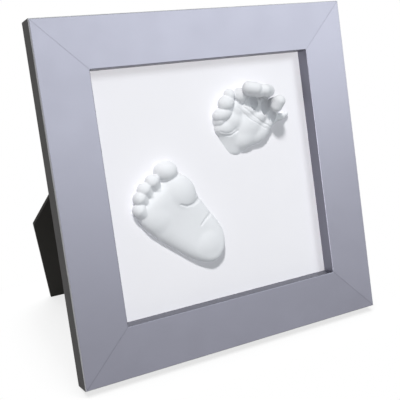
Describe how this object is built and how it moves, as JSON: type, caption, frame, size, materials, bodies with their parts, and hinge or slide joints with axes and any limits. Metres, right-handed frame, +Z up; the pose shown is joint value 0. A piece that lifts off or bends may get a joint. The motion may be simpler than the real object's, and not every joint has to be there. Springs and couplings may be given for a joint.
{
  "type": "picture frame with baby hand and foot casts",
  "caption": "Square silver picture frame with a deep open well, plaster casts of a baby's hand and foot on a white card, and a folding board strut behind that lets it lean back on a table",
  "frame": {"origin": "middle of the footprint, on the surface that the frame stands on", "axes": "+X to the right seen from the front, +Y to the back where the strut stands, +Z up"},
  "size_m": [0.25, 0.151, 0.2438],
  "materials": {
    "silver_moulding": "satin silver lacquer",
    "white_card": "matt white card",
    "plaster": "matt plaster",
    "dark_board": "matt dark board",
    "hinge_steel": "satin steel",
    "plated_steel": "zinc plated",
    "glue_pad": "soft adhesive"
  },
  "bodies": {
    "frame": {"top_rail": "silver_moulding", "bottom_rail": "silver_moulding", "left_rail": "silver_moulding", "right_rail": "silver_moulding", "corner_v_nails": "plated_steel", "backing_card": "white_card", "back_panel": "dark_board", "panel_rivets": "hinge_steel", "hinge_fixed_leaf": "hinge_steel", "hinge_pin": "hinge_steel", "turn_button_screws": "plated_steel", "sawtooth_hanger": "plated_steel", "hanger_nails": "plated_steel", "foot_cast": "plaster", "hand_cast": "plaster", "foot_glue_pads": "glue_pad", "hand_glue_pads": "glue_pad"},
    "strut": {"easel_strut": "dark_board", "hinge_moving_leaf": "hinge_steel", "strut_rivets": "hinge_steel"},
    "button_left_upper": {"turn_button_left_upper": "plated_steel"},
    "button_left_lower": {"turn_button_left_lower": "plated_steel"},
    "button_right_upper": {"turn_button_right_upper": "plated_steel"},
    "button_right_lower": {"turn_button_right_lower": "plated_steel"}
  },
  "joints": [
    {"name": "strut_fold", "type": "hinge", "parent": "frame", "child": "strut", "pos_m": [0, 0.00476, 0.20595], "axis": [-1, 0, 0], "range_deg": [0, 34.5]},
    {"name": "button_left_upper_swivel", "type": "hinge", "parent": "frame", "child": "button_left_upper", "pos_m": [-0.1043, -0.00872, 0.16735], "axis": [0, 0.957, -0.2902], "continuous": true},
    {"name": "button_left_lower_swivel", "type": "hinge", "parent": "frame", "child": "button_left_lower", "pos_m": [-0.1043, -0.03774, 0.07165], "axis": [0, 0.957, -0.2902], "continuous": true},
    {"name": "button_right_upper_swivel", "type": "hinge", "parent": "frame", "child": "button_right_upper", "pos_m": [0.1043, -0.00872, 0.16735], "axis": [0, 0.957, -0.2902], "continuous": true},
    {"name": "button_right_lower_swivel", "type": "hinge", "parent": "frame", "child": "button_right_lower", "pos_m": [0.1043, -0.03774, 0.07165], "axis": [0, 0.957, -0.2902], "continuous": true}
  ]
}
